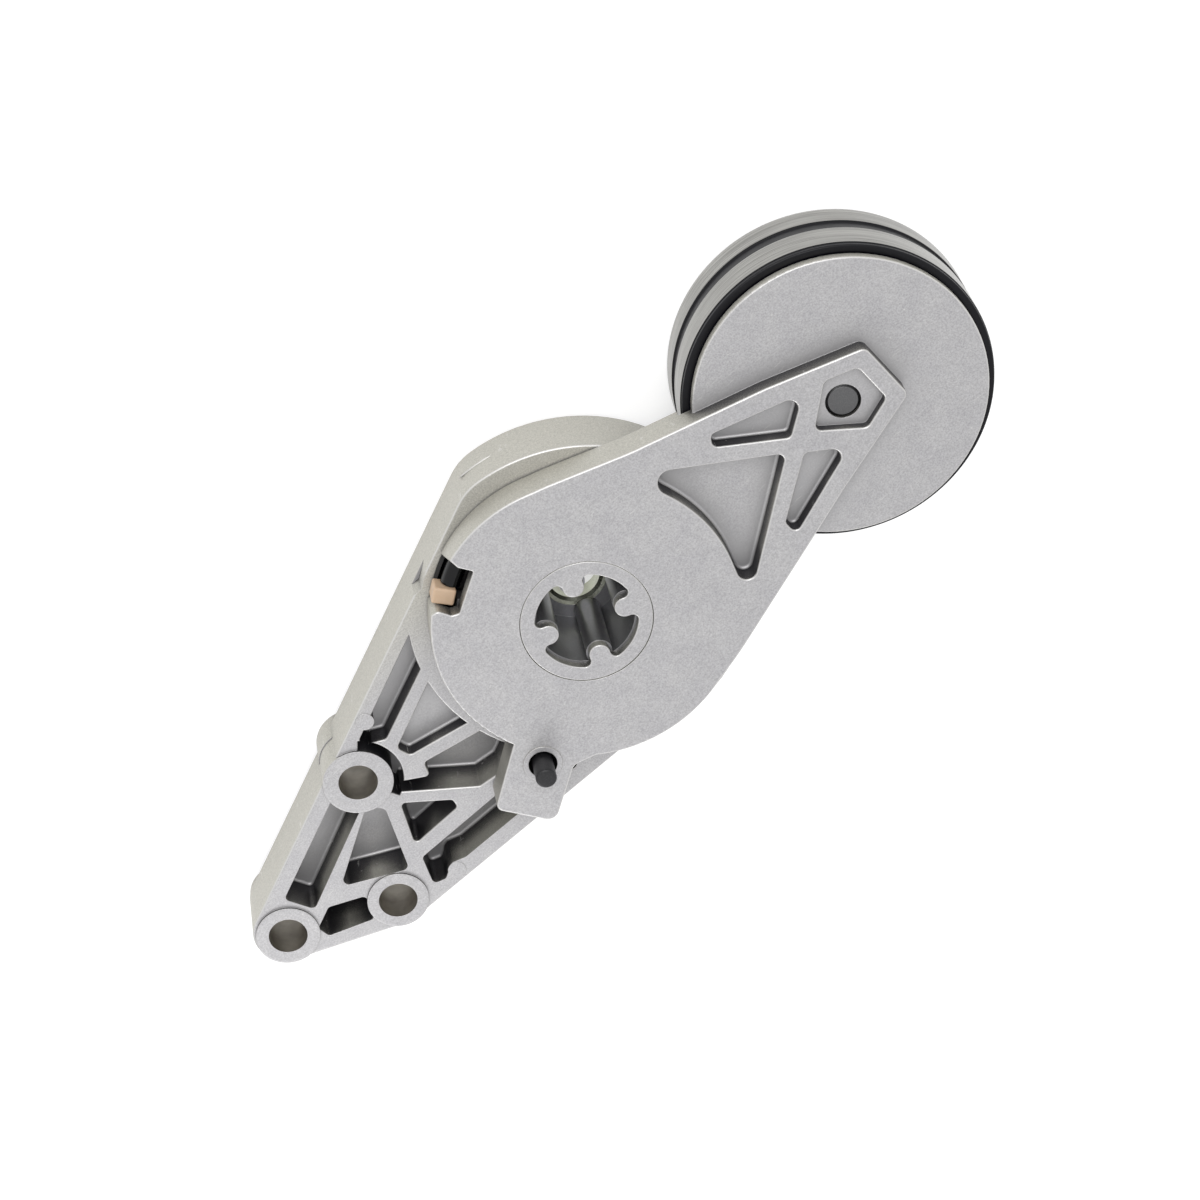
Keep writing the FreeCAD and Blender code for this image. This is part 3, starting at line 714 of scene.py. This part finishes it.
def lathe(
    name: str,
    profile: np.ndarray,
    axis: Vector,
    segments: int = 192,
    edge_mm: float = 1.2,
) -> bpy.types.Object:
    """Closed body of revolution.

    A point is the profile's radius turned about the axis by the column's angle, at the
    profile's height. The UV map's first coordinate is the angle in turns and its second the
    distance along the profile in metres. Long straight stretches are cut into short ones so
    that shading stays even.

    Args:
        name: the object's name.
        profile: closed outline of radius and height in millimetres, anticlockwise.
        axis: a point on the upright axis, in metres.
        segments: facets around.
        edge_mm: longest step along the profile.

    Returns:
        The linked object.
    """
    loop = np.concatenate([profile, profile[:1]])
    fine = [loop[:1]]
    for a, b in zip(loop[:-1], loop[1:]):
        parts = max(1, int(np.linalg.norm(b - a) / edge_mm))
        fine.append(a + (b - a) * np.linspace(0.0, 1.0, parts + 1)[1:, None])
    loop = np.concatenate(fine)
    along = np.concatenate([[0.0], np.cumsum(np.linalg.norm(np.diff(loop, axis=0), axis=1))])
    angle = np.linspace(0.0, 2 * math.pi, segments, endpoint=False)
    r = loop[:, 0, None] * MM
    x = axis.x + r * np.cos(angle)
    y = axis.y + r * np.sin(angle)
    z = np.broadcast_to(loop[:, 1, None] * MM, x.shape)
    points = np.stack([x, y, z], -1)
    u = np.broadcast_to(np.linspace(0.0, 1.0, segments + 1), (len(loop), segments + 1))
    v = np.broadcast_to(along[:, None] * MM, u.shape)
    piece = mesh_from_grid(name, points, np.stack([u, v], -1))
    weld(piece.data)
    return piece


def weld(mesh: bpy.types.Mesh, gap: float = 1e-6) -> None:
    """Joins corners that lie on one another.

    Args:
        mesh: the mesh to close.
        gap: largest distance joined, in metres.
    """
    work = bmesh.new()
    work.from_mesh(mesh)
    bmesh.ops.remove_doubles(work, verts=work.verts, dist=gap)
    bmesh.ops.recalc_face_normals(work, faces=work.faces)
    work.to_mesh(mesh)
    work.free()
    mesh.update()


def smooth_copy(node: str, name: str, crease_deg: float = 28.0) -> bpy.types.Object:
    """Closed, smooth-shaded copy of a CAD node, for finishes that need even normals.

    Args:
        node: the CAD node.
        name: the new object's name.
        crease_deg: edges sharper than this stay crisp.

    Returns:
        The linked copy.
    """
    mesh = frame["nodes"][node].data.copy()
    mesh.name = name
    mesh.materials.clear()
    if mesh.has_custom_normals:
        mesh.attributes.remove(mesh.attributes["custom_normal"])
    work = bmesh.new()
    work.from_mesh(mesh)
    bmesh.ops.remove_doubles(work, verts=work.verts, dist=2e-6)
    work.to_mesh(mesh)
    work.free()
    mesh.shade_smooth()
    mesh.set_sharp_from_angle(angle=math.radians(crease_deg))
    mesh.update()
    piece = bpy.data.objects.new(name, mesh)
    bpy.context.scene.collection.objects.link(piece)
    even = piece.modifiers.new("even_normals", "WEIGHTED_NORMAL")
    even.keep_sharp = True
    even.weight = 100
    return piece


def settle(
    piece: bpy.types.Object,
    body: Body,
    material: bpy.types.Material,
    stands_for: tuple[str, ...] = (),
) -> bpy.types.Object:
    """Gives a new piece its finish and its body, and reports it.

    Args:
        piece: the object.
        body: the body it moves with.
        material: its finish, unless it already has one.
        stands_for: CAD nodes it replaces.

    Returns:
        The same object.
    """
    if not piece.data.materials:
        piece.data.materials.append(material)
    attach(piece, body.value)
    if stands_for:
        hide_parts(*stands_for)
    LOG.info("%s on %s: %d faces", piece.name, body.value, len(piece.data.polygons))
    return piece


def dress(node: str, material: bpy.types.Material) -> None:
    """Puts a material on a CAD node.

    Args:
        node: the node.
        material: its finish.
    """
    for holder in frame["nodes"][node].material_slots:
        holder.material = material
    LOG.info("dressed %s in %s", node, material.name)


# ---------------------------------------------------------------------------------------------
# Sub-assemblies


@dataclass
class Castings:
    """The bracket, the swing arm, the plate on the pivot and the pin's bush."""

    finishes: Finishes
    bolt_hole_mm: float = 4.5
    pin_hole_mm: float = 3.3
    drum_mm: float = 39.0
    seam_level_mm: float = 10.5
    seam_proud_mm: float = 0.34
    seam_sunk_mm: float = 0.05
    seam_deg: tuple[float, float] = (78.0, 91.5)
    seam_rows: int = 40
    seam_facets: int = 12

    def build(self) -> None:
        """Replaces the four castings by smooth-shaded copies."""
        casting = self.finishes.casting
        bracket = smooth_copy("bracket", "bracket_casting")
        holes = [Vector(m["pos_m"]) for m in frame["record"]["mounts"]
                 if m["name"].startswith("bolt_hole")]
        self.line(bracket, holes, self.bolt_hole_mm, self.finishes.bracket_casting,
                  self.finishes.drilled)
        settle(bracket, Body.BRACKET, self.finishes.bracket_casting,
               ("bracket",))
        self.parting_seam()
        settle(smooth_copy("arm", "arm_casting"), Body.ARM, casting, ("arm",))
        settle(smooth_copy("retaining_plate", "pivot_plate"), Body.BRACKET,
               casting, ("retaining_plate",))
        bush = smooth_copy("pin_bush", "pin_bush_ring")
        low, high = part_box("pin_bush")
        self.line(bush, [(low + high) / 2], self.pin_hole_mm, casting,
                  self.finishes.pin_black)
        settle(bush, Body.ARM, casting, ("pin_bush",))

    def line(self, piece: bpy.types.Object, holes: list[Vector], radius_mm: float,
             outside: bpy.types.Material, inside: bpy.types.Material) -> None:
        """Gives the walls of round holes their own finish.

        Args:
            piece: the object.
            holes: points on the holes' upright axes, in metres.
            radius_mm: the holes' radius.
            outside: the finish of everything else.
            inside: the finish of the holes' walls.
        """
        mesh = piece.data
        mesh.materials.append(outside)
        mesh.materials.append(inside)
        count = len(mesh.polygons)
        centre, normal = np.zeros(count * 3), np.zeros(count * 3)
        mesh.polygons.foreach_get("center", centre)
        mesh.polygons.foreach_get("normal", normal)
        centre, normal = centre.reshape(-1, 3), normal.reshape(-1, 3)
        axes = np.array([hole.xy for hole in holes])
        apart = np.linalg.norm(centre[:, None, :2] - axes[None], axis=-1).min(axis=1)
        walls = (apart < (radius_mm + 0.08) * MM) & (np.abs(normal[:, 2]) < 0.5)
        mesh.polygons.foreach_set("material_index", walls.astype(np.int32))
        mesh.update()

    def parting_seam(self) -> None:
        """Short ridge left by the die's parting line on the drum's side.

        An arc of the drum's radius whose section is a flat half round; its height swells and
        fades along the arc as the sine of the position.
        """
        rows, facets = self.seam_rows, self.seam_facets
        turn = np.radians(np.linspace(self.seam_deg[0], self.seam_deg[1], rows))
        swell = np.sin(np.linspace(0.0, math.pi, rows)) ** 0.5 * self.seam_proud_mm + 0.01
        around = np.linspace(0.0, 2 * math.pi, facets, endpoint=False)
        out = self.drum_mm - self.seam_sunk_mm + swell[:, None] * np.cos(around)
        rise = self.seam_level_mm + 1.3 * swell[:, None] * np.sin(around)
        points = np.stack([out * np.cos(turn)[:, None], out * np.sin(turn)[:, None], rise],
                          -1) * MM
        u = np.broadcast_to(np.linspace(0.0, 1.0, facets + 1), (rows, facets + 1))
        v = np.broadcast_to(turn[:, None] * self.drum_mm * MM, u.shape)
        piece = mesh_from_grid("drum_parting_seam", points, np.stack([u, v], -1), (True, True))
        weld(piece.data)
        settle(piece, Body.BRACKET, self.finishes.bracket_casting)


@dataclass
class PivotHub:
    """Hollow pivot with its locating ring and bushes."""

    finishes: Finishes

    def build(self) -> None:
        """Dresses the hub's pieces."""
        settle(smooth_copy("pivot_tube", "pivot_tube_black"), Body.BRACKET,
               self.finishes.oxide, ("pivot_tube",))
        settle(smooth_copy("pivot_ring", "locating_ring"), Body.BRACKET,
               self.finishes.zinc, ("pivot_ring",))
        dress("thrust_washer", self.finishes.nylon)
        dress("bush_lower", self.finishes.nylon)
        dress("bush_upper", self.finishes.nylon)


@dataclass
class SpringPack:
    """Torsion spring, its plastic block, the saddle and the seal under the skirt."""

    finishes: Finishes
    wire_mm: float = 2.3
    coil_mm: float = 30.8
    pitch_mm: float = 5.0
    turns: float = 2.304
    low_mm: float = 9.43
    end_deg: float = 123.0
    chamfer_mm: float = 0.25
    rows_per_turn: int = 96
    facets: int = 40

    def build(self) -> None:
        """Builds the coil and dresses its seats."""
        coil = self.coil()
        settle(coil, Body.ARM, self.finishes.enamel, ("torsion_spring",))
        settle(smooth_copy("spring_block", "spring_block_nylon"), Body.ARM,
               self.finishes.nylon, ("spring_block",))
        dress("block_saddle", self.finishes.phosphate)
        dress("rim_seal", self.finishes.rubber)

    def coil(self) -> bpy.types.Object:
        """Round wire wound on a helix, with ground square ends.

        The lower end stands back from its stop by the arm's backward travel.

        The wire's middle is at the coil radius and turns with the path's parameter while it
        climbs by the pitch each turn. Around it the section is a circle in the plane of the
        outward and the upward normal of the helix. The first and last rows are drawn in to a
        small chamfer and capped.

        Returns:
            The linked coil.
        """
        rows = int(self.turns * self.rows_per_turn)
        step = np.linspace(0.0, 1.0, rows)
        step = np.concatenate([[0.0], step, [1.0]])
        shrink = np.ones(rows + 2)
        shrink[[0, -1]] = 1.0 - self.chamfer_mm / self.wire_mm
        turn = math.radians(self.end_deg) - 2 * math.pi * self.turns * (1.0 - step)
        climb = self.low_mm + self.pitch_mm * self.turns * step
        outward = np.stack([np.cos(turn), np.sin(turn), np.zeros_like(turn)], -1)
        lead = self.pitch_mm / (2 * math.pi * self.coil_mm)
        forward = np.stack([-np.sin(turn), np.cos(turn), np.full_like(turn, lead)], -1)
        forward /= np.linalg.norm(forward, axis=1)[:, None]
        upward = np.cross(outward, forward)
        middle = outward * self.coil_mm
        middle[:, 2] = climb
        sink = np.zeros(len(turn))
        sink[0], sink[-1] = -self.chamfer_mm, self.chamfer_mm
        middle = middle + forward * sink[:, None]
        around = np.linspace(0.0, 2 * math.pi, self.facets, endpoint=False)
        spread = (outward[:, None] * np.cos(around)[:, None]
                  - upward[:, None] * np.sin(around)[:, None])
        points = (middle[:, None] + spread * (self.wire_mm * shrink)[:, None, None]) * MM
        u = np.broadcast_to(np.linspace(0.0, 1.0, self.facets + 1),
                            (len(turn), self.facets + 1))
        v = np.broadcast_to((turn * self.coil_mm * MM)[:, None], u.shape)
        piece = mesh_from_grid("torsion_coil", points, np.stack([u, v], -1), (True, True))
        weld(piece.data)
        return piece


@dataclass
class IdlerPulley:
    """Smooth pulley, its ball bearing and the bolt that holds them."""

    finishes: Finishes
    radius_mm: float = 35.0
    wall_mm: float = 2.4
    groove_mm: float = 0.5
    groove_low_mm: float = 6.8
    groove_high_mm: float = 11.0
    front_mm: float = 1.3
    seat_mm: float = 20.0
    seat_wall_mm: float = 2.2
    seat_z_mm: tuple[float, float] = (7.4, 18.2)
    web_z_mm: tuple[float, float] = (8.8, 11.2)
    thread_pitch_mm: float = 1.25
    thread_mm: float = 2.6
    ridge_mm: float = 0.42
    crest_mm: float = 3.95
    end_mm: float = 3.3
    taper_mm: float = 1.5

    def build(self) -> None:
        """Builds the turned rim and the thread and dresses the bearing."""
        self.rim()
        self.bolt_thread()
        ground, rubber = self.finishes.ground, self.finishes.rubber
        settle(smooth_copy("outer_race", "bearing_outer_ring"), Body.PULLEY,
               ground, ("outer_race",))
        dress("inner_race", ground)
        dress("ball_cage", self.finishes.cage)
        for node in frame["nodes"]:
            if node.startswith("ball_") and node != "ball_cage":
                dress(node, ground)
        dress("seal_front", rubber)
        settle(smooth_copy("seal_rear", "bearing_seal_rear"), Body.PULLEY,
               rubber, ("seal_rear",))
        dress("bearing_spacer", self.finishes.zinc)
        settle(smooth_copy("dust_cap", "dust_cap_dished"), Body.ARM,
               self.finishes.phosphate, ("dust_cap",))
        dress("bolt_washer", self.finishes.zinc)
        settle(smooth_copy("pulley_bolt", "pulley_bolt_black"), Body.ARM,
               self.finishes.phosphate, ("pulley_bolt",))

    def rim(self) -> None:
        """Turned rim with its coated front band and groove.

        The profile is a tube wall with a shallow groove, a web and a bearing seat; faces whose
        middle lies in the coated stretches of the outside take the coating.
        """
        low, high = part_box("pulley_rim")
        z0, z1 = low.z / MM, high.z / MM
        r, inner = self.radius_mm, self.radius_mm - self.wall_mm
        groove_low, groove_high = z0 + self.groove_low_mm, z0 + self.groove_high_mm
        band, root = z1 - self.front_mm, r - self.groove_mm
        seat, hub = self.seat_mm, self.seat_mm + self.seat_wall_mm
        seat_low, seat_high = self.seat_z_mm
        web_low, web_high = self.web_z_mm
        profile = rounded_profile([
            (inner, z0, 0.4), (r, z0, 0.5),
            (r, groove_low, 0.25), (root, groove_low + 0.4, 0.3),
            (root, groove_high - 0.4, 0.3), (r, groove_high, 0.25),
            (r, band, 0.12), (r - 0.25, band + 0.22, 0.12),
            (r - 0.25, z1, 0.35), (inner, z1, 0.5),
            (inner, web_high, 2.2), (hub, web_high, 1.6), (hub, seat_high, 0.4),
            (seat, seat_high, 0.3), (seat, seat_low, 0.3), (hub, seat_low, 0.4),
            (hub, web_low, 0.5), (inner, web_low, 2.0),
        ], 6)
        piece = lathe("pulley_rim_turned", profile, PULLEY_AXIS, 256)
        mesh = piece.data
        mesh.materials.append(self.finishes.turned)
        mesh.materials.append(self.finishes.electrocoat)
        centres = np.zeros(len(mesh.polygons) * 3)
        mesh.polygons.foreach_get("center", centres)
        centres = centres.reshape(-1, 3) / MM
        reach = np.hypot(centres[:, 0] - PULLEY_AXIS.x / MM,
                         centres[:, 1] - PULLEY_AXIS.y / MM)
        height = centres[:, 2]
        outside = reach > inner + 0.9
        groove = outside & (height > groove_low) & (height < groove_high)
        front = height > band
        coated = (groove | front).astype(np.int32)
        mesh.polygons.foreach_set("material_index", coated)
        mesh.update()
        settle(piece, Body.PULLEY, self.finishes.turned, ("pulley_rim",))

    def bolt_thread(self) -> None:
        """Last turns of the thread, running out over the bolt's tapered end.

        The core follows the bolt's own taper. On it the radius swings as a triangle wave of
        height minus the angle times the pitch, so that the ridge climbs as a screw does, and
        the ridge fades out towards the end face.
        """
        rows, facets = 70, 96
        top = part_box("pulley_bolt")[1].z / MM
        height = np.linspace(top - self.thread_mm, top - 0.03, rows)
        angle = np.linspace(0.0, 2 * math.pi, facets, endpoint=False)
        phase = (height[:, None] - angle / (2 * math.pi) * self.thread_pitch_mm)
        wave = 1.0 - np.abs((phase / self.thread_pitch_mm) % 1.0 - 0.5) * 2.0
        depth = np.clip((top - height) / self.taper_mm, 0.0, 1.0)
        core = self.end_mm - 0.12 + (self.crest_mm - self.end_mm) * depth
        ridge = self.ridge_mm * np.clip((top - height) / 0.3, 0.0, 1.0)[:, None]
        r = np.minimum(core[:, None] + ridge * wave, self.crest_mm)
        x = PULLEY_AXIS.x + r * np.cos(angle) * MM
        y = PULLEY_AXIS.y + r * np.sin(angle) * MM
        z = np.broadcast_to(height[:, None] * MM, x.shape)
        u = np.broadcast_to(np.linspace(0.0, 1.0, facets + 1), (rows, facets + 1))
        v = np.broadcast_to(height[:, None] * MM, u.shape)
        piece = mesh_from_grid("bolt_thread_end", np.stack([x, y, z], -1),
                               np.stack([u, v], -1), (True, True))
        settle(piece, Body.ARM, self.finishes.pin_black)


@dataclass
class ServicePin:
    """Locking pin through the ear."""

    finishes: Finishes
    radius_mm: float = 2.4

    def build(self) -> None:
        """Turned pin with rounded ends."""
        low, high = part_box("lock_pin")
        axis = (low + high) / 2
        profile = rounded_profile([
            (0.02, low.z / MM, 0.0), (self.radius_mm, low.z / MM, 0.6),
            (self.radius_mm, high.z / MM, 0.55), (0.02, high.z / MM, 0.0)], 8)
        piece = lathe("service_pin", profile, axis, 64, 0.8)
        settle(piece, Body.PIN, self.finishes.pin_black, ("lock_pin",))


# ---------------------------------------------------------------------------------------------
# Studio


@dataclass(frozen=True)
class Softbox:
    """Square lamp: its name, place and side in metres, and power in watts."""

    name: str
    place: tuple[float, float, float]
    side: float
    power: float


@dataclass
class Studio:
    """Pale floor, soft light and the camera."""

    boxes: tuple[Softbox, ...] = (
        Softbox("key_softbox", (0.25, 0.45, 0.75), 0.5, 4.0),
        Softbox("back_strip", (-0.45, -0.35, 0.35), 0.3, 1.2))
    floor_half: float = 3.0
    floor_gap_mm: float = 0.2
    target_mm: tuple[float, float, float] = (5.65, 2.01, 27.5)
    distance_mm: float = 776.3
    azimuth_deg: float = 63.2
    elevation_deg: float = 60.86
    roll_deg: float = 163.91
    lens_mm: float = 105.4

    def build(self) -> None:
        """Sets the floor, the lights, the camera and the colour management."""
        self.floor()
        self.lights()
        self.camera()
        view = bpy.context.scene.view_settings
        view.view_transform = "Standard"
        view.look = "None"

    def floor(self) -> None:
        """Wide white floor just under the object, a light table that softens shadows."""
        level = CAD_BOX[0][2] - self.floor_gap_mm * MM
        half = self.floor_half
        mesh = bpy.data.meshes.new("studio_floor")
        mesh.from_pydata([(-half, -half, level), (half, -half, level), (half, half, level),
                          (-half, half, level)], [], [(0, 1, 2, 3)])
        material, tree = new_material("white_light_table")
        surface(tree, {
            "Base Color": paint("#c8c8c8"), "Roughness": 0.9,
            "Emission Color": (1.0, 1.0, 1.0, 1.0), "Emission Strength": 0.5})
        mesh.materials.append(material)
        sheet = bpy.data.objects.new("studio_floor", mesh)
        bpy.context.scene.collection.objects.link(sheet)

    def lights(self) -> None:
        """Bright even surround, a broad key from above and a low strip from behind."""
        world = bpy.data.worlds.new("studio_surround")
        world.use_nodes = True
        world.node_tree.nodes["Background"].inputs["Color"].default_value = (1, 1, 1, 1)
        world.node_tree.nodes["Background"].inputs["Strength"].default_value = 1.0
        bpy.context.scene.world = world
        for box in self.boxes:
            self.area(box)

    def area(self, box: Softbox) -> None:
        """Lights one softbox, aimed at the object.

        Args:
            box: the lamp's place, size and power.
        """
        lamp = bpy.data.lights.new(box.name, "AREA")
        lamp.size = box.side
        lamp.energy = box.power
        holder = bpy.data.objects.new(box.name, lamp)
        holder.location = box.place
        aim = Vector((0.0, 0.0, 0.01)) - Vector(box.place)
        holder.rotation_euler = aim.to_track_quat("-Z", "Y").to_euler()
        bpy.context.scene.collection.objects.link(holder)

    def camera(self) -> None:
        """Long-lens camera looking down on the arm's face."""
        azimuth = math.radians(self.azimuth_deg)
        elevation = math.radians(self.elevation_deg)
        back = Vector((math.cos(azimuth) * math.cos(elevation),
                       math.sin(azimuth) * math.cos(elevation), math.sin(elevation)))
        target = Vector(self.target_mm) * MM
        lens = bpy.data.cameras.new("camera")
        lens.lens = self.lens_mm
        lens.sensor_width = 36.0
        lens.clip_start = 0.01
        viewer = bpy.data.objects.new("camera", lens)
        level = (-back).to_track_quat("-Z", "Y")
        roll = Quaternion((0, 0, 1), math.radians(self.roll_deg))
        viewer.rotation_euler = (level @ roll).to_euler()
        viewer.location = target + back * self.distance_mm * MM
        bpy.context.scene.collection.objects.link(viewer)
        bpy.context.scene.camera = viewer


def main() -> None:
    """Builds the tensioner's pieces, then the studio, and logs each new piece's face count."""
    logging.basicConfig(level=logging.INFO, format="%(message)s")
    finishes = Finishes()
    for part in (Castings(finishes), PivotHub(finishes), SpringPack(finishes),
                 IdlerPulley(finishes), ServicePin(finishes), Studio()):
        part.build()


if __name__ == "__main__":
    main()
